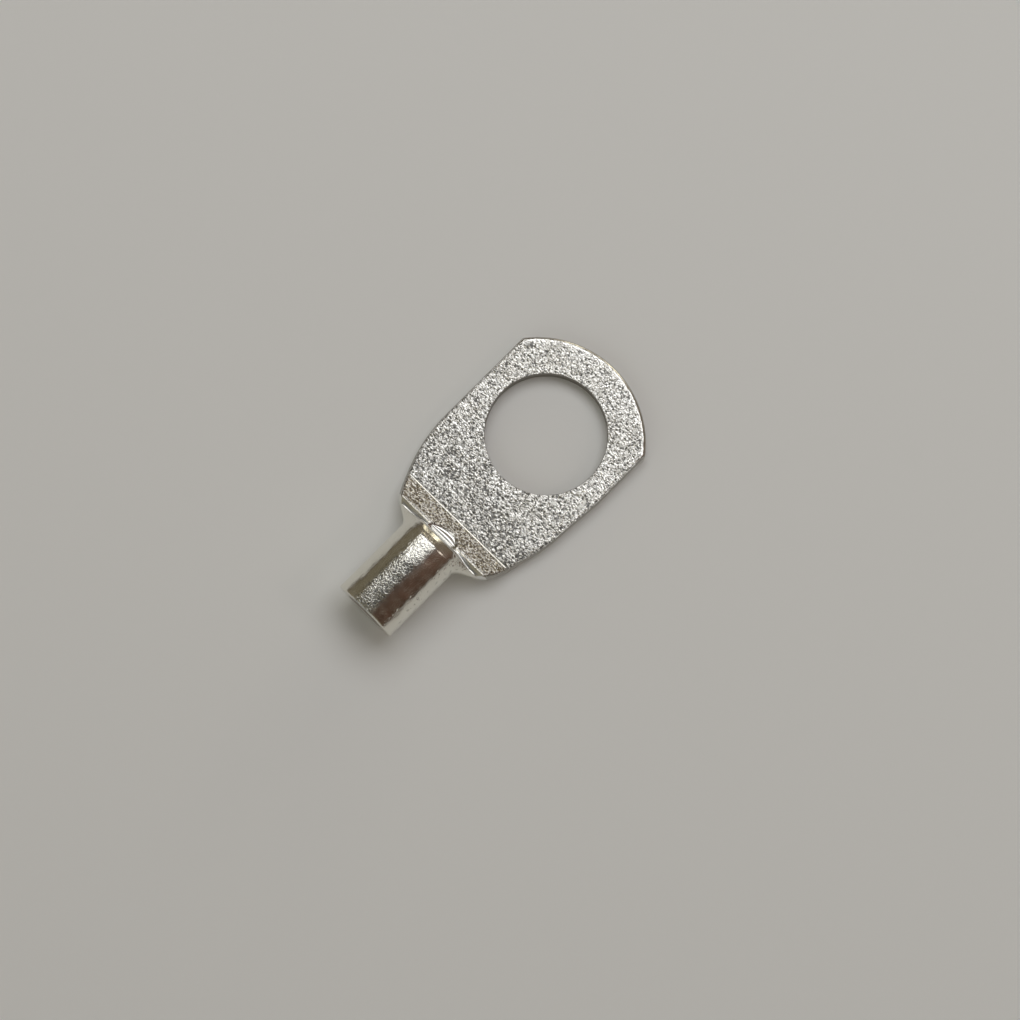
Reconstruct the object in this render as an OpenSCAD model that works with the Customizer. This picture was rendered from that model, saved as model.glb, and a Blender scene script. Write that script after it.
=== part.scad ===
// Tin-plated copper cable lug, pressed from one length of round tube.
// Origin: centre of the stud hole, on the underside that is bolted down.
// +X runs from the hole to the open end of the barrel, +Z is up.

/* [Tube] */
// Outside diameter of the tube, kept by the barrel
barrel_d = 3.0; // [2.6:0.1:3.8]
// Bore of the barrel, for the stripped conductor
bore_d = 1.8; // [1.2:0.1:2.2]
// Length of the round barrel, from the neck to its open end
barrel_l = 3.7; // [2.5:0.1:8]

/* [Palm] */
// Width of the palm over its folded sides
palm_w = 7.4; // [6.2:0.1:9]
// Thickness of the palm after coining
palm_t = 0.65; // [0.5:0.05:0.9]
// Diameter of the stud hole
hole_d = 5.3; // [4.3:0.1:6]
// Radius of the sheared tip, seen from above
tip_r = 4.65; // [4.4:0.05:6]
// How far the centre of that radius lies behind the centre of the hole
tip_set = 0.5; // [0:0.05:0.8]
// Radius of the edge that the shear rolls over on top of the tip
roll_r = 0.12; // [0.05:0.01:0.2]
// Radius of the folded sides, seen from the end
fold_r = 0.3; // [0.2:0.05:0.35]

/* [Heel] */
// From the centre of the hole to where the sides start to draw in
straight_l = 2.4; // [1:0.1:3]
// Radius of the sides where they draw in, seen from above
heel_r = 7.6; // [7:0.1:12]
// From the centre of the hole to the foot of the ramp
bend_l = 5.4; // [4.6:0.1:6.6]
// Length of the ramp, along the lug
ramp_l = 0.9; // [0.6:0.05:1.2]
// Rise of the ramp above the palm
ramp_h = 0.45; // [0.3:0.05:0.6]
// Radius of the heel's sides, seen from the end
cheek_r = 0.45; // [0.3:0.05:0.5]

/* [Step and neck] */
// Flat land between the top of the ramp and the foot of the step
land_l = 0.1; // [0.05:0.01:0.2]
// Lean of the step's face from upright, in degrees
face_lean = 5; // [3:1:20]
// Radius of the lip where the step runs out over the barrel
lip_r = 0.3; // [0.2:0.05:0.5]
// Length of the neck, from the top of the ramp to the round barrel
neck_l = 0.95; // [0.8:0.05:1.4]
// Length over which the bore closes to a slit, inside the neck
close_l = 0.25; // [0.15:0.05:0.4]
// Width of the hollow that the die leaves unfilled at the top of the ramp
hollow_w = 1.55; // [0.8:0.05:1.8]
// Depth of that hollow
hollow_h = 0.1; // [0.04:0.01:0.15]

/* [Hidden] */

ring_n = 88;          // points round one section of the blank
oval_n = 40;          // points round one section where the bore closes
taper_n = 12;         // sections along the drawn-in sides
ramp_n = 4;           // sections along the ramp
neck_n = 16;          // sections along the neck
cavity_n = 6;         // sections where the bore closes
crowd = 0.6;          // 0 spreads a section's points evenly, 1 crowds them to its sides
coin_h = 0.1;         // metal that the die presses down all over
skin = 0.01;          // a skin that runs on inside another lies this far under it
slit_h = 0.04;        // height that is left of the bore where it has closed
over = 1;             // a cut runs on this far past the metal
lip_end = 78;         // the lip's arc ends here, so that it leaves the barrel at an angle

barrel_r = barrel_d / 2;
bore_r = bore_d / 2;
wall = barrel_r - bore_r;
tip_x = tip_set - tip_r;
crease_x = bend_l + ramp_l;
crease_z = palm_t + ramp_h;
foot_x = crease_x + land_l;
neck_x = crease_x + neck_l;
mouth_x = neck_x + barrel_l;
blank_t = palm_t + coin_h;
cheek_h = crease_z + coin_h;
cavity_x = neck_x - close_l;

// Plain helpers: a number between two, the share of a span, and an eased share
function mix(a, b, t) = a + (b - a) * t;
function share(a, b, x) = min(1, max(0, (x - a) / (b - a)));
function ease(t) = t * t * (3 - 2 * t);

// A number that leaves a with slope m and reaches b level, over the length l
function run_out(a, b, m, l, t) =
    mix(a, b, ease(t)) + m * l * t * pow(1 - t, 2);

// Half the width of the sides that draw in on the heel's radius, and their slope
function arc_d(x) = max(0, x - straight_l);
function arc_y(x) = palm_w / 2 - heel_r + sqrt(pow(heel_r, 2) - pow(arc_d(x), 2));
function arc_slope(x) = -arc_d(x) / sqrt(pow(heel_r, 2) - pow(arc_d(x), 2));

// Half the width of the blank at x: palm, heel, then in to the barrel
function side_y(x) =
    x <= crease_x
    ? arc_y(x)
    : run_out(arc_y(crease_x), barrel_r, arc_slope(crease_x), neck_l, share(crease_x, neck_x, x));

// Height of the blank at x, before the die presses the steps into it
function blank_z(x) =
    x <= foot_x
    ? mix(blank_t, cheek_h, share(bend_l, crease_x, x))
    : mix(cheek_h, barrel_d, ease(share(foot_x, neck_x, x)));

// Radius of the blank's sides at x, seen from the end
function side_r(x) =
    x <= crease_x
    ? mix(fold_r, cheek_r, ease(share(straight_l, crease_x, x)))
    : mix(cheek_r, barrel_r, ease(share(crease_x, neck_x, x)));

// From the middle of a rounded bar (half sizes w and h, corner radius r) to its
// edge, in the direction whose cosine is c and whose sine is s
function bar_reach(w, h, r, c, s) =
    let (ac = abs(c), as = abs(s), pw = w - r, ph = h - r)
    ac * ph >= as * w ? w / ac
    : as * pw >= ac * h ? h / as
    : let (along = pw * ac + ph * as)
      along + sqrt(max(0, r * r - pw * pw - ph * ph + along * along));

// From a point that lies d under the middle of a circle of radius r to its edge
function round_reach(r, d, c, s) = d * s + sqrt(r * r - d * d * c * c);

// From the bar's middle to the straight web that runs from the tube's circle to the
// bar's corner circle and touches both; nothing outside its two touching points
function web_reach(w, h, r, c, s) =
    let (
        away = w - r,
        rise = barrel_r - (2 * h - r),
        tilt = atan2(rise, away) + asin((barrel_r - r) / norm([away, rise])),
        out = sin(tilt),
        up = cos(tilt),
        pipe_z = barrel_r - h,
        low = atan2(h - r + r * up, away + r * out),
        high = atan2(pipe_z + barrel_r * up, barrel_r * out),
        way = atan2(s, abs(c))
    )
    way > low && way < high ? (up * pipe_z + barrel_r) / (out * abs(c) + up * s) : 0;

// One section of the blank: the flattened bar, and the tube with its webs where there is one
function blank_ring(x, tube) =
    let (
        h = blank_z(x) / 2,
        w = side_y(x),
        r = min(side_r(x), h),
        squat = pow(h / w, crowd)
    )
    [for (i = [0 : ring_n - 1])
        let (
            t = 360 * (i + 0.5) / ring_n,
            a = atan2(squat * sin(t), cos(t)),
            bar = bar_reach(w, h, r, cos(a), sin(a)),
            pipe = round_reach(barrel_r, barrel_r - h, cos(a), sin(a)),
            web = web_reach(w, h, r, cos(a), sin(a)),
            reach = tube ? max(bar, pipe, web) : bar
        )
        [x, reach * cos(a), h + reach * sin(a)]];

// One section of n points on a level oval with half sizes w and h, round the height z
function oval_ring(n, x, w, h, z) =
    [for (i = [0 : n - 1])
        let (a = 360 * (i + 0.5) / n)
        [x, w * cos(a), z + h * sin(a)]];

// The middle of a ring: halfway between its first point and the opposite one
function middle(ring) = (ring[0] + ring[len(ring) / 2]) / 2;

// One section where the bore closes, from round (t = 0) to a slit (t = 1)
function cavity_ring(t) =
    oval_ring(
        oval_n,
        mix(neck_x, cavity_x, t),
        mix(bore_r - skin, side_y(cavity_x) - wall, ease(t)),
        mix(bore_r - skin, slit_h / 2, ease(t)),
        mix(barrel_r, crease_z / 2, ease(t))
    );

// A closed skin over a list of rings that all have the same number of points,
// with a fan from the middle of the first ring and of the last
module loft(rings) {
    n = len(rings[0]);
    m = len(rings);
    first = n * m;
    last = first + 1;
    polyhedron(
        points = concat([for (ring = rings) each ring], [middle(rings[0]), middle(rings[m - 1])]),
        faces = concat(
            [for (i = [0 : n - 1]) [first, i, (i + 1) % n]],
            [for (j = [0 : m - 2]) for (i = [0 : n - 1])
                let (a = j * n + i, b = j * n + (i + 1) % n)
                each [[a, a + n, b], [b, a + n, b + n]]],
            [for (i = [0 : n - 1]) [last, (m - 1) * n + (i + 1) % n, (m - 1) * n + i]]
        )
    );
}

module bar_along_x(r, x0, x1) {
    translate([x0, 0, barrel_r]) rotate([0, 90, 0]) cylinder(h = x1 - x0, r = r, $fn = 96);
}

// The tube pressed flat, from past the tip to just inside the round barrel
module blank() {
    loft(concat(
        [blank_ring(tip_x - over, false)],
        [for (i = [0 : taper_n]) blank_ring(mix(straight_l, bend_l, i / taper_n), false)],
        [for (i = [1 : ramp_n]) blank_ring(mix(bend_l, crease_x, i / ramp_n), i == ramp_n)],
        [for (i = [0 : neck_n - 1]) blank_ring(mix(foot_x, neck_x, i / neck_n), true)],
        [for (x = [neck_x, neck_x + wall / 2])
            oval_ring(ring_n, x, barrel_r - skin, barrel_r - skin, barrel_r)]
    ));
}

// The upper die in side view: palm, ramp, land, and the step with its lip
module step_die() {
    lip_z = barrel_d - lip_r;
    face_top = lip_z + lip_r * sin(face_lean);
    lip_x = foot_x + (face_top - crease_z) * tan(face_lean) + lip_r * cos(face_lean);
    lip = [for (a = [face_lean : (lip_end - face_lean) / 6 : lip_end])
        [lip_x - lip_r * cos(a), lip_z + lip_r * sin(a)]];
    rotate([90, 0, 0])
        linear_extrude(2 * palm_w, center = true)
            polygon(concat(
                [[tip_x - 2 * over, palm_t], [bend_l, palm_t], [crease_x, crease_z], [foot_x, crease_z]],
                lip,
                [[lip_x + lip_r, lip_z + lip_r * sin(lip_end) + lip_r * (1 + cos(lip_end)) / tan(lip_end)],
                 [lip_x + lip_r, 2 * barrel_d],
                 [tip_x - 2 * over, 2 * barrel_d]]
            ));
}

// What the shear leaves: everything inside the tip's radius, and all behind it
module inside_shear() {
    roll_x = tip_r - roll_r;
    roll_z = palm_t + skin - roll_r;
    translate([tip_set, 0, 0])
        rotate_extrude($fn = 180)
            polygon(concat(
                [[0, -over], [tip_r, -over]],
                [for (a = [0 : 15 : 90]) [roll_x + roll_r * cos(a), roll_z + roll_r * sin(a)]],
                [[0, palm_t + skin]]
            ));
    translate([tip_set, -palm_w, -over]) cube([mouth_x, 2 * palm_w, 2 * barrel_d]);
}

// The shallow hollow in the middle of the ramp's top edge
module hollow() {
    r = (pow(hollow_w / 2, 2) + pow(hollow_h, 2)) / (2 * hollow_h);
    translate([bend_l, 0, crease_z - hollow_h + r])
        rotate([0, 90, 0])
            cylinder(h = foot_x - bend_l, r = r, $fn = 180);
}

// The bore, round in the barrel and closing to a slit in the neck
module bore() {
    bar_along_x(bore_r, neck_x, mouth_x + over);
    loft(concat(
        [for (i = [cavity_n : -1 : 0]) cavity_ring(i / cavity_n)],
        [oval_ring(oval_n, neck_x + wall / 2, bore_r - skin, bore_r - skin, barrel_r)]
    ));
}

module cable_lug() {
    color("silver")
        difference() {
            union() {
                intersection() {
                    difference() {
                        blank();
                        step_die();
                    }
                    inside_shear();
                }
                bar_along_x(barrel_r, neck_x, mouth_x);
            }
            bore();
            hollow();
            translate([0, 0, -over]) cylinder(h = blank_t + 2 * over, d = hole_d, $fn = 180);
        }
}

cable_lug();
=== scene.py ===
# %% [markdown]
# # A tinned cable lug
# A cable lug is the end fitting of a battery or earth lead. It starts as a short piece
# of copper tube. One end stays round and takes the stripped wire, and the other end is
# pressed flat, punched for a stud, and sheared to a round tip. Then it is tin-plated.
# This file builds the looks of it: one closed skin worked out with numpy, one procedural
# tin finish, a pale table, a soft lamp and the camera. Sizes are in millimetres while
# they are worked out, and `MM` turns them into Blender's metres at the end.

import math

import bmesh
import bpy
import numpy as np
from mathutils import Matrix, Vector


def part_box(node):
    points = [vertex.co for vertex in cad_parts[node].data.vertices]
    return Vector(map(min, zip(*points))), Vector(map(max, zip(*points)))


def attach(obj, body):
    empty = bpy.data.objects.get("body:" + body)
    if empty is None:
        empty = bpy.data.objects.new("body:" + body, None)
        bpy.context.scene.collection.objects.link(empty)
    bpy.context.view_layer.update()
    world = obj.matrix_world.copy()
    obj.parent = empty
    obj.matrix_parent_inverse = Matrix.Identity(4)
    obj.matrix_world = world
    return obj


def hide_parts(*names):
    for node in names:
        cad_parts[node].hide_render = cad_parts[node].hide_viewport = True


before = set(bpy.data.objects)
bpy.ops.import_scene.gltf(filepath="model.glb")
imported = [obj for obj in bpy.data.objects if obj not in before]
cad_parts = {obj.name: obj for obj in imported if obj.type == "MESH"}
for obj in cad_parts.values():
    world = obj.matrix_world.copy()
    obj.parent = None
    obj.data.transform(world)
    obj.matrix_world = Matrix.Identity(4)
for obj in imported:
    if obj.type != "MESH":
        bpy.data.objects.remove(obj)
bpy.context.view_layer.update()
MM = 0.001
part_lo, part_hi = (np.array(corner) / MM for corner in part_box("cable_lug"))
print("the packed part runs from", part_lo.round(3), "to", part_hi.round(3), "mm")

# %% [markdown]
# ## Sizes
# The overall sizes come from the packed part, so the skin can't drift away from it: the
# tip, the open end of the barrel, the width and the height. The rest are the sizes that
# the press and the shear set: where the palm ends at the bend, how far the ramp climbs to
# the crease, where the step's foot stands behind it, and where the tube is round again.
# The origin is the centre of the stud hole, on the underside.

# %% Sizes in millimetres
tip_x, mouth_x = part_lo[0], part_hi[0]
palm_half = part_hi[1]
barrel_r = part_hi[2] / 2
bore_r = 0.9
hole_r = 2.65
palm_t = 0.65
tip_r = 4.65
tip_centre = tip_x + tip_r
straight_x = 2.4
heel_r = 7.6
bend_x = 5.37
crease_x = 6.3
crease_z = 1.1
foot_x = crease_x + 0.1
neck_x = 7.25
coin_allowance = 0.1
fold_r, cheek_r = 0.3, 0.45
print("barrel", 2 * barrel_r, "mm across, palm", 2 * palm_half, "mm wide")

# %% [markdown]
# ## Small helpers for shapes
# A few tiny functions do most of the shaping. `share` says how far a value has come
# between two limits, `ease` starts and stops that gently, and `mix` goes part of the way
# from one value to another. `soft_max` is the larger of two sizes with a round valley
# where they meet, and `soft_min` is the smaller with a round ridge, as a die leaves them.

# %% Shape helpers
def share(a, b, x):
    """How far x has come from a to b, held between 0 and 1."""
    return np.clip((x - a) / (b - a), 0, 1)


def ease(t):
    """A share that starts and ends level: 3 t squared less 2 t cubed."""
    return t * t * (3 - 2 * t)


def mix(a, b, t):
    """The value that lies the share t of the way from a to b."""
    return a + (b - a) * t


def soft_max(a, b, reach):
    """The larger of a and b, plus a parabola over the reach where they are alike."""
    return np.maximum(a, b) + np.maximum(reach - np.abs(a - b), 0) ** 2 / (4 * reach)


def soft_min(a, b, reach):
    """The smaller of a and b, rounded where they are alike."""
    return -soft_max(-a, -b, reach)


print("half way, eased:", ease(share(0, 2, 1.0)), "and rounded:", soft_max(1.0, 1.0, 0.2))

# %% [markdown]
# ## The outline from above
# The palm has straight folded sides that draw in on a large radius, cross the ramp and
# then run out level into the round barrel. A real lug is never quite symmetrical: this
# one was fed into the press a hair crooked, so one side draws in a little earlier.

# %% Half widths along the lug
early_draw = 0.16
early_start, early_end = (0.3, 2.9), (4.6, 5.9)


def arc_half(x):
    """Half the width on the heel's radius: a circle that starts where the sides draw in."""
    run = np.maximum(x - straight_x, 0)
    return palm_half - heel_r + np.sqrt(heel_r**2 - run**2)


def half_width(x, side):
    """Half the blank's width at x on one side (+1 or -1).

    On the palm and ramp it is the heel's circle. Past the crease it leaves with that
    slope and arrives level at the barrel's radius. The +1 side draws in early.
    """
    at = arc_half(crease_x)
    run = crease_x - straight_x
    slope = -run / math.sqrt(heel_r**2 - run**2)
    length = neck_x - crease_x
    t = share(crease_x, neck_x, x)
    leave = slope * length * t * (1 - t) ** 2
    blend = mix(at, barrel_r, ease(t)) + leave
    half = np.where(x <= crease_x, arc_half(np.minimum(x, crease_x)), blend)
    early = early_draw * ease(share(*early_start, x)) * (1 - ease(share(*early_end, x)))
    return half - np.where(np.asarray(side) > 0, early, 0)


print("half width at the ramp's foot", half_width(np.array(bend_x), -1).round(3))

# %% [markdown]
# ## The edge profile
# Seen from the end, the folded side of the palm is a round bar that the die has pressed
# flat on top, which leaves one crisp edge. The sheared tip is different: the shear rolls
# the top edge over and leaves a straight wall. Both are written as the same number of
# points, so one can turn into the other round the corner of the tip.

# %% Edge profiles as inset and height
crisp_n, upper_n, wall_n, lower_n = 4, 6, 3, 9
edge_n = crisp_n + upper_n + wall_n + lower_n
crisp_r = 0.06
crisp_lap, crisp_drop, arc_lead = 0.15, 0.9, 0.12


def side_profile(top_z, blank_z, radius):
    """Inset from the outermost line, and height, of a folded side from top to bottom.

    The bar is blank_z high with round corners; the die cuts it level at top_z. A small
    round takes off the crisp edge, an arc leads out, a short wall leads down, and a
    quarter circle leads under. All inputs may be arrays; the points are the last axis.
    """
    sizes = np.broadcast_arrays(np.asarray(top_z, float), blank_z, radius)
    top_z, blank_z, radius = (size[..., None] for size in sizes)
    centre_z = blank_z - radius
    start = np.arcsin(np.clip((top_z - centre_z) / radius, -1, 1))
    crisp = np.linspace(0, 1, crisp_n, endpoint=False)
    corner = radius * (1 - np.cos(start))
    crisp_in = corner + crisp_r * (1 - crisp) ** 2 - crisp_lap * crisp_r * crisp
    crisp_z = top_z - crisp_drop * crisp_r * crisp**2
    a = start * (1 - np.linspace(arc_lead, 1, upper_n))
    upper_in, upper_z = radius * (1 - np.cos(a)), centre_z + radius * np.sin(a)
    w = np.linspace(0, 1, wall_n + 1)[1:]
    wall_in, wall_z = 0 * w + 0 * radius, mix(centre_z, np.minimum(radius, centre_z), w)
    b = np.linspace(0, math.pi / 2, lower_n + 1)[1:]
    low = np.minimum(radius, centre_z)
    lower_in, lower_z = low * (1 - np.cos(b)), low * (1 - np.sin(b))
    inset = np.concatenate([crisp_in, upper_in, wall_in, lower_in], axis=-1)
    height = np.concatenate([crisp_z, upper_z, wall_z, lower_z], axis=-1)
    return inset, height


roll_r, burr_r = 0.13, 0.03


def tip_profile():
    """Inset and height down the sheared tip: a rolled quarter circle, a wall, a small round."""
    roll = np.linspace(0, math.pi / 2, crisp_n + upper_n)
    wall = np.linspace(0, 1, wall_n + lower_n - 3)[1:]
    burr = np.linspace(0, math.pi / 2, 5)[1:]
    inset = np.concatenate([roll_r * (1 - np.sin(roll)), 0 * wall, burr_r * (1 - np.cos(burr))])
    roll_z = palm_t - roll_r * (1 - np.cos(roll))
    burr_z = burr_r * (1 - np.sin(burr))
    return inset, np.concatenate([roll_z, mix(palm_t - roll_r, burr_r, wall), burr_z])


print("edge profiles:", edge_n, "points, side and tip")

# %% [markdown]
# ## The palm round its hole
# A flat plate with a hole is best gridded like a record: columns run out from the hole
# to the outline and rows run round it. The columns follow the outline: one folded side,
# a small round corner, the sheared arc, the other corner and side, and a straight chord
# where the heel's sections take over. Every column goes over the edge and back under.

# %% The outline that the columns follow
chord_x = 3.6
chord_n, side_n, corner_n, tip_n = 140, 96, 8, 136
corner_r = 0.16
fold_fade = 0.5


def palm_outline():
    """Outermost points, inset directions and tip shares for the columns beyond the chord.

    One side runs from the chord to the corner, the corner turns on a small radius that
    touches the side and the tip's circle, and the tip's circle crosses to the other side.
    """
    mid_r = tip_r - corner_r
    half = palm_half - corner_r
    corner_x = tip_centre - math.sqrt(mid_r**2 - half**2)
    turn = math.atan2(half, tip_centre - corner_x)
    side_x = np.linspace(chord_x, corner_x, side_n)
    side = np.stack([side_x, half_width(side_x, 1)], 1)
    c = np.linspace(math.pi / 2, math.pi - turn, corner_n + 2)[1:-1]
    corner = np.stack([corner_x + corner_r * np.cos(c), half + corner_r * np.sin(c)], 1)
    t = np.linspace(math.pi - turn, math.pi + turn, tip_n)
    tip = np.stack([tip_centre + tip_r * np.cos(t), tip_r * np.sin(t)], 1)
    mirror = np.array([1, -1])
    left_x = side_x[::-1]
    left = np.stack([left_x, -half_width(left_x, -1)], 1)
    points = np.concatenate([side, corner, tip, corner[::-1] * mirror, left])
    inward_side = np.stack([0 * side_x, -np.ones(side_n)], 1)
    inward_c = -np.stack([np.cos(c), np.sin(c)], 1)
    inward_t = -np.stack([np.cos(t), np.sin(t)], 1)
    inward = np.concatenate([inward_side, inward_c, inward_t, inward_c[::-1] * mirror, -inward_side])
    fade = 1 - ease(share(corner_x, corner_x + fold_fade, side_x))
    tipness = np.concatenate([fade, np.ones(2 * corner_n + tip_n), fade[::-1]])
    return points, inward, tipness


outline, inward, tipness = palm_outline()
print("outline columns:", len(outline), "beyond the chord and", chord_n - 2, "on it")

# %% [markdown]
# ## Sections of the heel, the ramp and the neck
# From the chord to the crease each section is the pressed bar: a level top, the edge
# profile, and a level underside. Past the crease it is worked out in polar form round its
# own middle: the largest of the bar, the round tube and the straight web between them,
# cut down by the step of the die. The web and the step give a pressed lug its face. In
# the ramp's top edge, just before the step, the die leaves one small pocket unfilled.

# %% Heights along the lug
ramp_slope = (crease_z - palm_t) / (crease_x - bend_x)
bend_soft, crease_soft = 0.028, 0.022


def die_height(x):
    """Height of the coined face: palm, ramp, level top, with a small round at each bend."""
    ramp = palm_t + ramp_slope * (x - bend_x)
    return soft_min(soft_max(palm_t + 0 * x, ramp, bend_soft), crease_z, crease_soft)


def blank_height(x):
    """Height of the pressed bar before the step: a coined allowance, then up to the tube."""
    low = np.where(x <= bend_x, palm_t, np.minimum(die_height(x), crease_z)) + coin_allowance
    return mix(low, 2 * barrel_r, ease(share(foot_x, neck_x, x)))


def side_radius(x):
    """Corner radius of the pressed bar: the fold, the fuller cheek, then the round tube."""
    cheek = mix(fold_r, cheek_r, ease(share(straight_x, crease_x, x)))
    return mix(cheek, barrel_r, ease(share(crease_x, neck_x, x)))


hollow_mid, hollow_half, hollow_reach = 0.25, 0.8, 0.41
hollow_lip, hollow_lip_run, hollow_rise = 0.03, 0.06, 0.07
hollow_climb = (0.3, 0.85)


def hollow_edge(y):
    """How far the pocket reaches down the ramp at y: a parabola on each side of its middle."""
    side = np.where(y > hollow_mid, hollow_half - hollow_mid, hollow_half + hollow_mid)
    return hollow_reach * np.maximum(1 - ((y - hollow_mid) / side) ** 2, 0)


def hollow_cut(x, y):
    """Depth of the small pocket that the die leaves unfilled in the ramp's top edge.

    From above it is an almond: it reaches furthest down the ramp a little off the middle
    and dies out at the foot of the step's corners. A small lip leads down to its floor,
    which starts level, rises in the middle and is level again at the crease.
    """
    reach = hollow_edge(y)
    inside = np.maximum(reach - (crease_x - x), 0)
    along = inside / np.maximum(reach, 0.01)
    rise = hollow_rise * (reach / hollow_reach) * ease(share(*hollow_climb, along))
    lip = hollow_lip * ease(share(0, 0.1, reach)) * ease(share(0, hollow_lip_run, inside))
    return np.maximum(lip + ramp_slope * inside - rise, 0)


print("face height at the bend and the crease:", die_height(np.array([bend_x, crease_x])).round(3))


# %% One ring of the pressed bar
crowd_start = bend_x - 0.6
hollow_start = bend_x + 0.3


def bar_ring(x):
    """Rings of the pressed bar at the stations x, from the +Y top edge round to the start.

    The order is: top from +Y to -Y, the -Y edge downwards, the underside from -Y to +Y,
    and the +Y edge upwards. The top starts evenly spaced and crowds to the middle on the
    ramp, where the tube's crown will need the points.
    """
    x = np.atleast_1d(x)[:, None]
    top_z = die_height(x[:, 0])
    inset, height = side_profile(top_z, blank_height(x[:, 0]), side_radius(x[:, 0]))
    plus, minus = half_width(x, 1), half_width(x, -1)
    crowd = ease(share(crowd_start, crease_x, x))

    def across(first, last, rise):
        """Points from first to last: even along y, or even in angle seen from below."""
        u = np.linspace(0, 1, chord_n)
        even = mix(first, last, u)
        a0, a1 = np.arctan2(first, rise), np.arctan2(last, rise)
        turned = rise * np.tan(mix(a0, a1, u))
        return mix(even, turned, crowd)

    mid_z = blank_height(x) / 2
    top_y = across(plus - inset[:, :1], -(minus - inset[:, :1]), top_z[:, None] - mid_z)
    top_h = np.broadcast_to(top_z[:, None], top_y.shape)
    top_h = top_h - np.where(x > hollow_start, hollow_cut(x, top_y), 0)
    low_y = across(-(minus - inset[:, -1:]), plus - inset[:, -1:], mid_z)
    minus_y, plus_y = -(minus - inset[:, 1:]), plus - inset[:, -2:0:-1]
    y = np.concatenate([top_y, minus_y, low_y[:, 1:], plus_y], axis=1)
    z = np.concatenate([top_h, height[:, 1:], 0 * low_y[:, 1:], height[:, -2:0:-1]], axis=1)
    return np.stack([np.broadcast_to(x, y.shape), y, z], axis=-1)


ring_n = bar_ring(np.array([chord_x])).shape[1]
print("points round one section:", ring_n)


# %% Polar reach of the bar and of the tube
def bar_reach(half_w, half_h, r, c, s):
    """Distance from the bar's middle to its edge along the direction (c, s).

    It meets the flat side, the flat top, or the corner circle, whichever lies there.
    """
    ac, az = np.abs(c), np.abs(s)
    flat_w, flat_h = half_w - r, half_h - r
    along = flat_w * ac + flat_h * az
    corner = along + np.sqrt(np.maximum(r**2 - flat_w**2 - flat_h**2 + along**2, 0))
    on_side = ac * flat_h >= az * half_w
    on_top = az * flat_w >= ac * half_h
    tiny = 1e-9
    return np.where(on_side, half_w / (ac + tiny), np.where(on_top, half_h / (az + tiny), corner))


def tube_reach(below, c, s):
    """Distance to the tube's circle from a point that lies below its centre."""
    return below * s + np.sqrt(np.maximum(barrel_r**2 - (below * c) ** 2, 0))


def web_reach(half_w, top_z, r, mid, c, s):
    """Distance to the straight web that joins the tube's circle to the bar's corner circle.

    The web is the line that touches both circles from outside, so a section stays full
    and never dips between them. Outside its two touching points it gives nothing.
    """
    away, rise = np.maximum(half_w - r, 1e-4), barrel_r - (top_z - r)
    tilt = np.arctan2(rise, away) + np.arcsin(np.clip((barrel_r - r) / np.hypot(away, rise), 0, 1))
    out, up = np.sin(tilt), np.cos(tilt)
    line = (up * (barrel_r - mid) + barrel_r) / np.maximum(out * np.abs(c) + up * s, 1e-3)
    high = np.arctan2(barrel_r - mid + barrel_r * up, barrel_r * out)
    low = np.arctan2(top_z - r - mid + r * up, away + r * out)
    way = np.arctan2(s, np.abs(c))
    return np.where((way > low) & (way < high), line, 0)


print("the tube reaches", tube_reach(0.5, 0.0, 1.0), "mm up from half a millimetre below its centre")

# %% [markdown]
# ## The step
# The die stops short of the tube and leaves it standing as a step. In the middle the
# step's foot lies right behind the crease, and to the sides it sweeps back, so a narrow
# land opens up there. The land falls away behind the crease: a narrow groove in the
# middle, and a gentler slope beside it that flattens out towards the foot.

# %% The step's foot, face and land
land_back, land_mid = 0.15, 0.1
sweep_side = (0.8, 1.8)
face_lean = math.radians(5)
foot_soft = 0.02
groove_fall, land_fall = 0.58, 0.26
groove_side = (0.75, 0.95)


def foot_sweep(y):
    """How far the step's foot lies behind its place in the middle, at the side distance y."""
    away = np.abs(y - land_mid)
    return land_back * ease(share(*sweep_side, away))


def step_height(back):
    """Height of the die at the distance behind the step's foot: the land, then a steep face."""
    return soft_max(crease_z + back / math.tan(face_lean), crease_z + 0 * back, foot_soft)


def land_dip(x, y):
    """How far the land falls behind the crease: a groove in the middle, a slope beside it."""
    wide = np.maximum(foot_x + foot_sweep(y) - crease_x, 0.02)
    behind = np.clip(x - crease_x, 0, wide)
    beside = ease(share(*groove_side, np.abs(y - land_mid)))
    return mix(groove_fall, land_fall * (1 - 0.5 * behind / wide), beside) * behind


land_wide = foot_x - crease_x + foot_sweep(np.array([land_mid, 2.0]))
print("width of the land in the middle and at the sides:", land_wide.round(3))

# %% [markdown]
# ## The crown behind the step
# Flattening one end of a tube draws the top of the rest down a little. Behind the step's
# face come a round nose, a short steep bead and a straight shoulder. Then a long shallow
# dip dies out along the crown, and the sawn end droops by a hair. All of it fades to
# nothing at the tube's mid height, so the flanks stay round.

# %% Nose, bead, shoulder, dip and droop
face_run, nose_r, nose_steep = 0.13, 0.1, 0.998
shoulder_fall, shoulder_run, shoulder_soft = 0.5, 0.5, 0.07
bead_fall, bead_run, bead_soft = 0.27, 0.24, 0.03
shoulder_end = neck_x + 0.2
sag_deep, sag_start, sag_end = 0.09, 6.6, 8.25
droop_deep, droop_start = 0.07, 8.0
crown_power = 1.5


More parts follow.
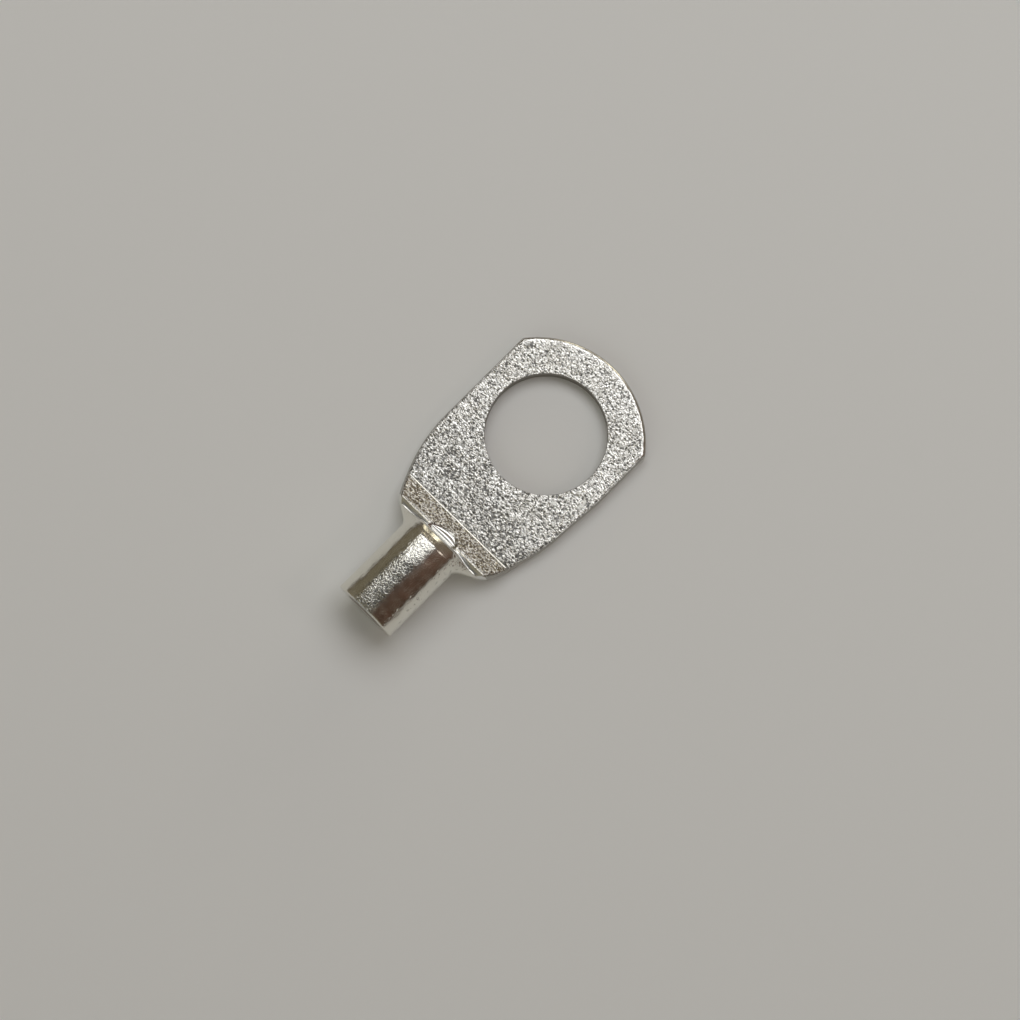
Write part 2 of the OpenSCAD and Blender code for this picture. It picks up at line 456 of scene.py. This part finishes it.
def crown_sag(x, y, z):
    """How far the press has drawn the tube down near the step; nothing at mid height.

    The nose is a quarter circle. The shoulder and the bead fall in proportion to the
    distance left of their runs. The dip is an eased share, and the droop a square.
    """
    behind = x - foot_x - foot_sweep(y) - face_run
    near = np.clip(nose_r - behind, 0, nose_r * nose_steep)
    nose = nose_r - np.sqrt(nose_r**2 - near**2)
    shoulder = shoulder_fall * soft_max(shoulder_run - behind, 0 * behind, shoulder_soft)
    shoulder = shoulder + bead_fall * soft_max(bead_run - behind, 0 * behind, bead_soft)
    shoulder = np.where(x < shoulder_end, shoulder, 0)
    dip = sag_deep * (1 - ease(share(sag_start, sag_end, x)))
    droop = droop_deep * share(droop_start, mouth_x, x) ** 2
    return (nose + shoulder + dip + droop) * share(barrel_r, 2 * barrel_r, z) ** crown_power


print("the crown lies", round(float(crown_sag(neck_x, 0.0, 2 * barrel_r)), 3), "mm low at the neck's end")

# %% [markdown]
# ## Sections of the neck
# The sections crowd where the step's face rises, because it climbs a whole millimetre in
# a tenth of one. Their points keep the crease's angles at first and turn into even ones.

# %% Rings from the crease to the round tube
neck_stations = np.concatenate(
    [
        np.linspace(crease_x + 0.012, foot_x - 0.004, 6),
        foot_x + np.array([0, 0.004, 0.01, 0.025, 0.045, 0.07, 0.1, 0.12, 0.13, 0.134, 0.14]),
        foot_x + np.array([0.148, 0.158, 0.17, 0.184, 0.2, 0.218, 0.24]),
        foot_x + np.linspace(0.27, 0.6, 12),
        np.linspace(foot_x + 0.62, neck_x - 0.02, 10),
    ]
)


def barrel_angles():
    """Angles of a ring's points on the round barrel: evenly round, in the ring's own order."""
    edge = math.pi * edge_n / ring_n
    top = np.linspace(edge, math.pi - edge, chord_n)
    left = np.linspace(math.pi - edge, math.pi + edge, edge_n)[1:]
    low = np.linspace(math.pi + edge, 2 * math.pi - edge, chord_n)[1:]
    right = np.linspace(2 * math.pi - edge, 2 * math.pi + edge, edge_n)[1:-1]
    return np.concatenate([top, left, low, right])


even_start, straight_start = foot_x + 0.1, foot_x + 0.25
cut_soft = 0.07


def neck_rings(stations):
    """Rings between the crease and the round barrel, in polar form round each middle.

    The angles start as the crease's own and turn into even ones. The reach is the largest
    of the bar, the tube and the web, cut by the step. The stations bend with the foot, so
    x and the reach depend on each other's y, and three rounds settle them.
    """
    start = bar_ring(np.array([crease_x]))[0]
    first = np.arctan2(start[:, 2] - blank_height(crease_x) / 2, start[:, 1]) % (2 * math.pi)
    last = barrel_angles()
    first = np.where(first - last > math.pi, first - 2 * math.pi, first)
    first = np.where(last - first > math.pi, first + 2 * math.pi, first)
    x0 = stations[:, None]
    angle = mix(first, last, ease(share(even_start, neck_x, x0)))
    c, s = np.cos(angle), np.sin(angle)
    bend = ease(share(crease_x, foot_x, x0)) * (1 - ease(share(straight_start, neck_x, x0)))
    y = np.broadcast_to(start[:, 1], angle.shape)
    for _ in range(3):
        x = x0 + bend * foot_sweep(y) * np.where(s > 0, 1, 0) * ease(share(0, 0.2, s))
        mid = blank_height(x) / 2
        half = np.where(c > 0, half_width(x, 1), half_width(x, -1))
        r = np.minimum(side_radius(x), mid)
        bar = bar_reach(half, mid, r, c, s)
        tube = tube_reach(barrel_r - mid, c, s)
        web = web_reach(half, 2 * mid, r, mid, c, s)
        reach = np.maximum(np.maximum(bar, tube), web)
        back = x - foot_x - foot_sweep(y)
        cut = step_height(back)
        dip = hollow_cut(np.minimum(x, crease_x), y) * (1 - ease(share(-0.02, 0.02, back)))
        dip = dip + land_dip(x, y) * (1 - ease(share(0, 0.12, back)))
        cut = cut - dip + crown_sag(x, y, cut)
        limit = np.where(s > 0.02, (cut - mid) / np.maximum(s, 0.02), 9)
        reach = soft_min(reach, limit, cut_soft)
        y = reach * c
    z = mid + reach * s
    return np.stack([x, y, z - crown_sag(x, y, z)], axis=-1)


print("stations in the neck:", len(neck_stations))

# %% [markdown]
# ## Uneven skin of the drawn tube
# Tin that has run and set is never quite even. A few sine waves of many lengths and
# directions, wrapped round the tube, give it slow ripples a few thousandths high.

# %% Ripples from a few waves
draws = np.random.default_rng(7)
ripple_n = 14
ripple_way = draws.uniform(0, math.pi, ripple_n)
ripple_pitch = 2 * math.pi / draws.uniform(0.35, 1.3, ripple_n)
ripple_start = draws.uniform(0, 2 * math.pi, ripple_n)
ripple_high, ripple_sink = 0.003, 1.4


def ripple(u, v):
    """Uneven relief of about unit height: waves of many lengths that run in many directions."""
    waves = [
        np.sin(pitch * (u * math.cos(way) + v * math.sin(way)) + start)
        for way, pitch, start in zip(ripple_way, ripple_pitch, ripple_start)
    ]
    return sum(waves) / math.sqrt(ripple_n / 2)


print("ripples:", ripple_n, "waves,", ripple_high, "mm high")

# %% [markdown]
# ## The barrel and its bore
# The barrel is the tube as it came, so its sections are circles. Its open end was sawn and
# tumbled: a small round outside, a flat ring, and a round inside. Then the skin turns back
# as the bore, and at the neck the bore closes to a slit, where the flattening began.

# %% Barrel, mouth and bore
barrel_step = 0.085
mouth_r = 0.07
worn_run, skin_t = 0.5, 0.1
close_l, slit_half, slit_z = 0.5, 1.1, 0.75


def circle_rings(x, r):
    """Rings of radius r about the barrel's axis, at the stations x."""
    a = barrel_angles()
    x, r = (np.asarray(v, float)[:, None] for v in (x, r))
    worn = share(neck_x, neck_x + worn_run, x) * share(bore_r + skin_t, barrel_r - skin_t, r)
    r = r - ripple_high * worn * (ripple_sink + ripple(x, r * np.unwrap(a)))
    y, z = r * np.cos(a), barrel_r + r * np.sin(a)
    return np.stack([np.broadcast_to(x, y.shape), y, z - crown_sag(x, y, z)], axis=-1)


def barrel_rings():
    """Outside of the barrel, the rounded mouth and the bore back to the neck."""
    n = int((mouth_x - mouth_r - neck_x) / barrel_step)
    out_x = np.linspace(neck_x, mouth_x - mouth_r, n)
    a = np.linspace(0, math.pi / 2, 7)[1:]
    lip_x = mouth_x - mouth_r * (1 - np.sin(a))
    lip_rr = barrel_r - mouth_r * (1 - np.cos(a))
    inner = bore_r + mouth_r
    face_r = np.linspace(barrel_r - mouth_r, inner, 6)[1:]
    b = np.linspace(0, math.pi / 2, 6)[1:]
    in_x = mouth_x - mouth_r * (1 - np.cos(b))
    in_rr = inner - mouth_r * np.sin(b)
    bore_x = np.linspace(mouth_x - mouth_r, neck_x, 16)[1:]
    x = np.concatenate([out_x, lip_x, 0 * face_r + mouth_x, in_x, bore_x])
    r = np.concatenate([0 * out_x + barrel_r, lip_rr, face_r, in_rr, 0 * bore_x + bore_r])
    return circle_rings(x, r)


def closing_rings():
    """The bore closes: its height eases to nothing while its width grows a little."""
    a = barrel_angles()
    t = np.linspace(0, 1, 9)[1:, None]
    wide = mix(bore_r, slit_half, ease(t))
    tall = bore_r * (1 - ease(t))
    z = mix(barrel_r, slit_z, ease(t)) + tall * np.sin(a)
    y = wide * np.cos(a)
    return np.stack([np.broadcast_to(neck_x - close_l * t, y.shape), y, z], axis=-1)


# %% All the sections in one grid
heel_stations = np.concatenate(
    [
        np.linspace(chord_x, bend_x - 0.08, 30),
        np.linspace(bend_x - 0.05, bend_x + 0.08, 7),
        np.linspace(bend_x + 0.12, crease_x - 0.32, 9),
        np.linspace(crease_x - 0.3, crease_x, 16),
    ]
)
rings = np.concatenate(
    [bar_ring(heel_stations), neck_rings(neck_stations), barrel_rings(), closing_rings()]
)
print("sections from the heel to the end of the bore:", len(rings))

# %% [markdown]
# ## From grids to one mesh
# Each patch is a grid of points, so its faces are simply the small squares between
# neighbours. The patches share the points along their seams. Merging those doubles, which
# lie within a rounding error of each other, joins the patches into one closed skin, and
# then the normals are worked out afresh, pointing out.

# %% Patches of the palm
top_rows, low_rows, rim_n = 24, 11, 4
rim_r = 0.035
row_crowding = 0.3
wall_levels = np.array([0.3, 0.5, 0.7])


def palm_patches():
    """Top, edge, underside and hole wall of the palm, each as a grid of points."""
    side_in, side_z = side_profile(palm_t, palm_t + coin_allowance, side_radius(outline[:, 0]))
    tip_in, tip_z = tip_profile()
    t = tipness[:, None]
    inset, z = mix(side_in, tip_in, t), mix(side_z, tip_z, t)
    place = outline[:, None] + inset[..., None] * inward[:, None]
    edge = np.concatenate([place, z[..., None]], axis=2)
    chord = bar_ring(np.array([chord_x]))[0]
    top_chord = chord[:chord_n][::-1]
    low_chord = chord[chord_n + edge_n - 2 : 2 * chord_n + edge_n - 2]

    def spread(outer, z, rows):
        """Points from the hole's rim out to the outer loop, level at the height z."""
        outer = outer[:, None, :2]
        rim = (hole_r + rim_r) * outer / np.linalg.norm(outer, axis=2, keepdims=True)
        u = np.linspace(0, 1, rows)[None, :, None]
        flat = mix(rim, outer, mix(u, ease(u), row_crowding))
        return np.concatenate([flat, np.full(flat.shape[:2] + (1,), z)], axis=2)

    top_loop = np.concatenate([edge[:, 0], top_chord[1:-1]])
    low_loop = np.concatenate([edge[:, -1], low_chord[1:-1]])
    top, low = spread(top_loop, palm_t, top_rows), spread(low_loop, 0.0, low_rows)
    a = np.linspace(0, math.pi / 2, rim_n + 1)
    near, far = rim_r * (1 - np.sin(a)), rim_r * (1 - np.cos(a))
    wall_r = np.concatenate([near, 0 * wall_levels, far])
    wall_z = np.concatenate([palm_t - far, mix(palm_t, 0, wall_levels), near])
    share_z = wall_z / palm_t
    top_dir = top[:, 0, :2] / (hole_r + rim_r)
    low_dir = low[:, 0, :2] / (hole_r + rim_r)
    way = mix(low_dir[:, None], top_dir[:, None], share_z[None, :, None])
    way = way / np.linalg.norm(way, axis=2, keepdims=True)
    hole = way * (hole_r + wall_r)[None, :, None]
    hole_z = np.broadcast_to(wall_z[None, :, None], hole.shape[:2] + (1,))
    return top, edge, low, np.concatenate([hole, hole_z], axis=2)


top, edge, low, hole = palm_patches()
print("palm patches:", top.shape[:2], edge.shape[:2], low.shape[:2], hole.shape[:2])


# %% Join the patches into one object
seam_gap = 0.00005


def grid_faces(rows, columns, closed, start):
    """Quads between neighbours of a rows by columns grid; closed joins the last column."""
    i = np.arange(rows - 1)[:, None]
    j = np.arange(columns if closed else columns - 1)[None, :]
    k = (j + 1) % columns
    row, after = i * columns, (i + 1) * columns
    corners = np.broadcast_arrays(row + j, row + k, after + k, after + j)
    return start + np.stack(corners, axis=-1).reshape(-1, 4)


def skin_mesh(name, patches):
    """One mesh from several point grids, given as (points, closed), with seams merged."""
    points, faces, start = [], [], 0
    for grid, closed in patches:
        rows, columns = grid.shape[:2]
        points.append(grid.reshape(-1, 3))
        faces.append(grid_faces(rows, columns, closed, start))
        start += rows * columns
    mesh = bpy.data.meshes.new(name)
    mesh.from_pydata((np.concatenate(points) * MM).tolist(), [], np.concatenate(faces).tolist())
    bm = bmesh.new()
    bm.from_mesh(mesh)
    bmesh.ops.remove_doubles(bm, verts=bm.verts, dist=seam_gap * MM)
    bmesh.ops.dissolve_degenerate(bm, edges=bm.edges, dist=seam_gap * MM)
    bmesh.ops.recalc_face_normals(bm, faces=bm.faces)
    open_edges = sum(1 for e in bm.edges if not e.is_manifold)
    bm.to_mesh(mesh)
    bm.free()
    mesh.shade_smooth()
    print(name, "has", len(mesh.vertices), "points, open edges:", open_edges)
    return mesh


lug_mesh = skin_mesh(
    "tinned_lug",
    [
        (top.transpose(1, 0, 2), True),
        (edge.transpose(1, 0, 2), False),
        (low.transpose(1, 0, 2), True),
        (hole.transpose(1, 0, 2), True),
        (rings, True),
    ],
)
lug = bpy.data.objects.new("tinned_lug", lug_mesh)
bpy.context.collection.objects.link(lug)
triangles = sum(len(f.vertices) - 2 for f in lug_mesh.polygons)
print("triangles:", triangles)

# %% [markdown]
# ## Shader maths that reads like arithmetic
# A material is a network of nodes. Wrapping a socket in a small class lets plain Python
# expressions such as `1 - mask * 0.4` add the Math nodes, which keeps the finish readable.

# %% A wrapped socket and one method for every other node
class Wire:
    """A socket of a node tree; arithmetic on it adds Math nodes."""

    def __init__(self, shop, socket):
        self.shop, self.socket = shop, socket

    def maths(self, operation, first, second):
        """One Math node on two values or wires."""
        return self.shop.node("ShaderNodeMath", {"operation": operation}, {0: first, 1: second})

    def __add__(self, other):
        return self.maths("ADD", self, other)

    def __sub__(self, other):
        return self.maths("SUBTRACT", self, other)

    def __rsub__(self, other):
        return self.maths("SUBTRACT", other, self)

    def __mul__(self, other):
        return self.maths("MULTIPLY", self, other)

    __radd__, __rmul__ = __add__, __mul__

    def span(self, low, high):
        """0 below low, 1 above high, and a gentle slope between."""
        return self.shop.node(
            "ShaderNodeMapRange",
            {"interpolation_type": "SMOOTHSTEP"},
            {"Value": self, "From Min": low, "From Max": high},
        )


class Shop:
    """Builds one node tree."""

    def __init__(self, tree):
        self.tree = tree
        tree.nodes.clear()

    def node(self, kind, settings=None, sockets=None, output=0):
        """Adds a node: its settings first, then the values or links of its sockets."""
        made = self.tree.nodes.new(kind)
        for key, value in (settings or {}).items():
            setattr(made, key, value)
        for key, value in (sockets or {}).items():
            if isinstance(value, Wire):
                self.tree.links.new(value.socket, made.inputs[key])
            else:
                made.inputs[key].default_value = value
        return Wire(self, made.outputs[output]) if made.outputs else made

    def blend(self, factor, a, b):
        """Colour a where the factor is 0 and colour b where it is 1."""
        colours = [c if isinstance(c, Wire) else (*c, 1) for c in (a, b)]
        sockets = {0: factor, 6: colours[0], 7: colours[1]}
        return self.node("ShaderNodeMix", {"data_type": "RGBA"}, sockets, output=2)

    def noise(self, where, scale, detail=2.0, rough=0.5, distort=0.0):
        """Cloudy values round a half, with about scale clouds to a unit of where."""
        sockets = {"Vector": where, "Scale": scale, "Detail": detail, "Roughness": rough}
        return self.node("ShaderNodeTexNoise", None, sockets | {"Distortion": distort})

    def stretched(self, where, ways):
        """The place where, with patterns on it drawn out by ways along x, y and z."""
        sockets = {"Vector": where, "Scale": ways}
        return self.node("ShaderNodeMapping", {"vector_type": "TEXTURE"}, sockets)

    def part_of(self, vector, axis):
        """One coordinate of a vector."""
        return self.node("ShaderNodeSeparateXYZ", None, {0: vector}, axis)


print("a shop's methods:", [name for name in vars(Shop) if not name.startswith("_")])

# %% [markdown]
# ## Where the finish changes
# The die, the drawing and the punch each leave their own surface. Four masks, worked out
# from where a point lies and which way it faces, tell the shader which is which: the
# coined faces, the drawn tube, the dull bore and hole wall, and the steep sides. The bore,
# the hole wall and the steep sides also get painted shade.

# %% Masks that follow the surface
tube_from, tube_full = foot_x + 0.02, foot_x + 0.3
face_up, side_up = (0.62, 0.86), (0.5, 0.8)
line_near, line_least = (0.02, 0.055), 0.1
rim_smooth = (0.06, 0.24)
low_limit, hair = 0.4, 0.02


def coined_mask_of(x, y, z, up, tube):
    """1 on the grained faces: level enough, off the tube, and clear of each worn line.

    The bends are burnished, the pocket in the ramp was never touched by the die, and the
    shear drew the tip's rim smooth. The grain's painted shade and the ramp's painted
    reflection follow this mask.
    """
    face = share(*face_up, up) * (x < tube_full) * (z > low_limit) * (1 - tube)
    near_line = np.minimum(np.abs(x - bend_x + 0.02), np.abs(x - crease_x + 0.03))
    face = face * mix(line_least, 1, share(*line_near, near_line)) * (x < crease_x + 0.01)
    face = face * share(-0.06, 0.0, crease_x - x - hollow_edge(y))
    rim = tip_r - np.hypot(x - tip_centre, y)
    return face * np.where(x < 0, share(*rim_smooth, rim), 1)


def surface_masks(mesh):
    """Writes the four masks as point attributes and gives the mean of each."""
    count = len(mesh.vertices)
    co = np.empty(count * 3)
    mesh.vertices.foreach_get("co", co)
    x, y, z = co.reshape(-1, 3).T / MM
    normal = np.empty(count * 3)
    mesh.vertices.foreach_get("normal", normal)
    up = normal.reshape(-1, 3)[:, 2]
    from_axis = np.hypot(y, z - barrel_r)
    tube = ease(share(tube_from, tube_full, x)) * share(1.2, 1.45, from_axis)
    in_bore = 1 - share(bore_r + 0.01, bore_r + 0.1, from_axis)
    punched = (np.hypot(x, y) < hole_r + hair) * (z < palm_t - hair)
    bore = np.maximum(share(neck_x - 0.6, neck_x - 0.5, x) * in_bore, punched)
    side = share(-0.2, 0.0, up) * (1 - share(*side_up, up)) * (x < crease_x)
    masks = {
        "coined": coined_mask_of(x, y, z, up, tube),
        "drawn": tube,
        "bore": bore,
        "side": np.maximum(side, punched),
    }
    for name, values in masks.items():
        attribute = mesh.attributes.new(name, "FLOAT", "POINT")
        attribute.data.foreach_set("value", np.ascontiguousarray(values, dtype=np.float32))
    return {name: round(float(values.mean()), 3) for name, values in masks.items()}


print("mean of each mask:", surface_masks(lug_mesh))

# %% [markdown]
# ## The tin finish
# Hot tin over pressed copper is a bright warm white metal. The coined faces carry the
# fine grain of the die, drawn out a little across the lug, with painted shade in its
# hollows that deepens towards the heel. The ramp is painted darker and browner as a
# painted reflection. The drawn tube is smoother, with short streaks along it, rubbed
# patches on the crown that darken towards the mouth as a painted dark reflection, and
# nicks on one flank. The bore and the punched wall are duller and painted darker as
# shade, and the steep sides are painted darker as shade too.

# %% Patterns: grain, pits, streaks, rubs and nicks
tin = bpy.data.materials.new("tinned_copper_finish")
tin.use_nodes = True
shop = Shop(tin.node_tree)
here = shop.node("ShaderNodeTexCoord", None, None, "Object")
mm_here = shop.node("ShaderNodeVectorMath", {"operation": "SCALE"}, {0: here, "Scale": 1 / MM})
coined_mask, drawn_mask, bore_mask, side_shade_mask = (
    shop.node("ShaderNodeAttribute", {"attribute_name": name}, None, "Fac")
    for name in ("coined", "drawn", "bore", "side")
)
along_x = shop.part_of(mm_here, "X")
across_y = shop.part_of(mm_here, "Y")

grain = shop.noise(shop.stretched(mm_here, (1.0, 1.6, 1.0)), 14.5, 0.9, 0.5, 0.6)
# This share is 1 on the grain's crests and 0 in its hollows, where painted shade goes below; it leans to
# the hollows towards the heel, so that painted shade deepens there.
grain_crest = (grain - along_x.span(0.0, 5.0) * 0.07).span(0.33, 0.49)
pits = shop.noise(mm_here, 3.2, 2.0, 0.5)
streak = shop.noise(shop.stretched(mm_here, (3.0, 1.0, 1.0)), 9.0, 3.0, 0.6)
crown = across_y.span(-0.75, -0.45) * (1 - across_y.span(0.2, 0.55)) * drawn_mask
rub = shop.noise(mm_here, 11.0, 1.2, 0.5, 0.8)
nicks = shop.noise(mm_here, 4.5, 1.5, 0.6)
rough_side = across_y.span(0.95, 1.15) * drawn_mask
cloud = shop.noise(mm_here, 0.55, 2.0, 0.5)
print("patterns:", len(tin.node_tree.nodes), "nodes so far")

# %% Colour, from the bright tin to the dark bore
grey_tin, bright_tin = (0.78, 0.77, 0.735), (0.83, 0.825, 0.80)
grain_shade_grey, ramp_reflection_brown = (0.09, 0.088, 0.083), (0.2, 0.165, 0.12)
tube_tin, rub_and_reflection_grey = (0.83, 0.815, 0.745), (0.16, 0.16, 0.16)
bore_shade_grey, side_shade_brown = (0.36, 0.33, 0.29), (0.22, 0.2, 0.17)

colour = shop.blend(cloud.span(0.35, 0.65), grey_tin, bright_tin)
# Painted shade: the grain's hollows are painted a near-black grey for the shade and dark glints among its
# slopes.
colour = shop.blend((1 - grain_crest) * coined_mask * 0.92, colour, grain_shade_grey)
# Painted reflection: the ramp is painted dark brown, as its slope would mirror a brown wall.
ramp = along_x.span(5.41, 5.46) * coined_mask * (1 - grain_crest * 0.65)
colour = shop.blend(ramp * 0.8, colour, ramp_reflection_brown)
colour = shop.blend(drawn_mask, colour, tube_tin)
# Rubbed patches on the crown, plus a painted dark reflection that darkens the crown towards the mouth.
worn = (1 - rub.span(0.36, 0.52)) * 0.6 + along_x.span(7.6, 8.6) * 0.22
colour = shop.blend(worn * crown, colour, rub_and_reflection_grey)
# Painted shade: the bore and the punched hole wall are painted darker.
colour = shop.blend(bore_mask * 0.85, colour, bore_shade_grey)
# Painted shade: the steep sides, and the hole wall with them, are painted darker.
colour = shop.blend(side_shade_mask * 0.7, colour, side_shade_brown)
print("coloured:", len(tin.node_tree.nodes), "nodes so far")

# %% Roughness, relief and the metal itself
relief_high = 0.044
roughness = 0.18 + coined_mask * 0.04 + bore_mask * 0.2 + pits.span(0.4, 0.7) * 0.08
height = grain * coined_mask + pits * coined_mask * 0.5
height = height + streak * drawn_mask * 0.12 + rub * crown * 0.35
height = height - nicks.span(0.6, 0.72) * rough_side * 0.5
relief = shop.node(
    "ShaderNodeBump",
    None,
    {"Strength": 1.0, "Distance": relief_high * MM, "Height": height},
    "Normal",
)
metal = shop.node(
    "ShaderNodeBsdfPrincipled",
    None,
    {"Base Color": colour, "Metallic": 1.0, "Roughness": roughness, "Normal": relief},
    "BSDF",
)
shop.node("ShaderNodeOutputMaterial", None, {"Surface": metal})
lug_mesh.materials.append(tin)
print("tin finish:", len(tin.node_tree.nodes), "nodes, relief", relief_high, "mm")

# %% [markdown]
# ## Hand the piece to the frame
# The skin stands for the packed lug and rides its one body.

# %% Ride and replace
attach(lug, "root")
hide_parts("cable_lug")
print(lug.name, "stands for cable_lug and rides root")

# %% [markdown]
# ## Table, lamp and room
# The lug lies on a plain pale table. One big soft lamp hangs over one side, so its edge
# lies just where the level palm mirrors it, and every slope of the grain glitters. The
# rest of the room is dim and warm: a grey ceiling, olive and brown walls, a dark line
# at the horizon, and three small windows that make the streaks on the shoulder.

# %% Pale table
table_half = 1.0
laminate_colour = (0.87, 0.875, 0.87, 1)
table_mesh = bpy.data.meshes.new("pale_table")
turns = ((-1, -1), (1, -1), (1, 1), (-1, 1))
corners = [(table_half * u, table_half * v, 0) for u, v in turns]
table_mesh.from_pydata(corners, [], [(0, 1, 2, 3)])
table = bpy.data.objects.new("pale_table", table_mesh)
bpy.context.collection.objects.link(table)
table_finish = bpy.data.materials.new("pale_table_finish")
table_finish.use_nodes = True
paint = Shop(table_finish.node_tree)
laminate = paint.node(
    "ShaderNodeBsdfPrincipled",
    None,
    {"Base Color": laminate_colour, "Roughness": 0.6, "Specular IOR Level": 0.2},
    "BSDF",
)
paint.node("ShaderNodeOutputMaterial", None, {"Surface": laminate})
table_mesh.materials.append(table_finish)
print("table:", 2 * table_half, "m square")

# %% Soft lamp
lamp_data = bpy.data.lights.new("soft_box", "AREA")
lamp_data.shape = "RECTANGLE"
lamp_data.size, lamp_data.size_y = 0.235, 0.36
lamp_data.energy = 0.51
lamp = bpy.data.objects.new("soft_box", lamp_data)
lamp.location = (-0.158, -0.081, 0.30)
lamp.rotation_euler = (0, 0, math.radians(10))
bpy.context.collection.objects.link(lamp)
print("lamp:", lamp_data.energy, "W,", lamp.location.z, "m above the table")

# %% Dim warm room
ceiling_grey, olive_wall = (0.09, 0.09, 0.088), (0.14, 0.12, 0.082)
red_wall, dark_red_wall = (0.10, 0.058, 0.041), (0.05, 0.027, 0.019)
brown_wall, sand_wall = (0.15, 0.115, 0.08), (0.24, 0.215, 0.15)
pale_wall, horizon_brown = (0.45, 0.45, 0.43), (0.035, 0.022, 0.014)

world = bpy.data.worlds.new("room")
bpy.context.scene.world = world
world.use_nodes = True
room = Shop(world.node_tree)
way = room.node("ShaderNodeTexCoord", None, None, "Generated")
way_x, way_y, way_z = (room.part_of(way, axis) for axis in "XYZ")
walls = room.blend(way_y.span(-0.75, -0.3), olive_wall, ceiling_grey)
side_wall = room.blend(way_x.span(-0.16, 0.04), red_wall, dark_red_wall)
walls = room.blend(way_y.span(0.2, 0.55), walls, side_wall)
walls = room.blend((way_x * -1.0).span(0.5, 0.9), walls, brown_wall)
walls = room.blend(way_x.span(0.09, 0.24), walls, sand_wall)
walls = room.blend(way_x.span(0.4, 0.65), walls, pale_wall)
walls = room.blend(way_z.span(0.02, 0.2), horizon_brown, walls)
print("room:", len(world.node_tree.nodes), "nodes so far")

# %% Three small windows
window_soft = 0.004
daylight, pink_light = (2.6, 2.4, 1.8), (3.0, 2.7, 2.5)


def window(colours, towards, reach_degrees, glow):
    """Adds a round bright window in one direction: where the dot product with it is large."""
    aimed = Vector(towards).normalized()
    sockets = {0: way, 1: aimed}
    near = room.node("ShaderNodeVectorMath", {"operation": "DOT_PRODUCT"}, sockets, "Value")
    edge = math.cos(math.radians(reach_degrees))
    return room.blend(near.span(edge - window_soft, edge + window_soft), colours, glow)


walls = window(walls, (-0.97, -0.1, 0.19), 7, daylight)
walls = window(walls, (-0.87, -0.45, 0.19), 6, daylight)
walls = window(walls, (-0.45, 0.62, 0.62), 6, pink_light)
sky = room.node("ShaderNodeBackground", None, {"Color": walls, "Strength": 1.0}, "Background")
room.node("ShaderNodeOutputWorld", None, {"Surface": sky})
print("room:", len(world.node_tree.nodes), "nodes")

# %% [markdown]
# ## Camera
# The camera hangs over the bench and looks almost straight down, a little from the
# barrel's side. It is set by its place and by which ways its right, top and back point.

# %% Camera over the bench
camera_at = Vector((16.19, 13.67, 115.64)) * MM
right = Vector((-0.70303, 0.71116, 0.00092))
up = Vector((-0.70267, -0.69484, 0.15313))
back = Vector((0.10954, 0.10701, 0.98821))
camera_data = bpy.data.cameras.new("bench_camera")
camera_data.lens, camera_data.sensor_width = 95.9, 36
camera_data.clip_start, camera_data.clip_end = 0.005, 10
camera = bpy.data.objects.new("bench_camera", camera_data)
bpy.context.collection.objects.link(camera)
turn = Matrix((right, up, back)).transposed().to_4x4()
camera.matrix_world = Matrix.Translation(camera_at) @ turn
bpy.context.scene.camera = camera
bpy.context.scene.view_settings.view_transform = "Standard"
print("camera:", round(camera_at.length / MM), "mm from the stud hole")

# %% [markdown]
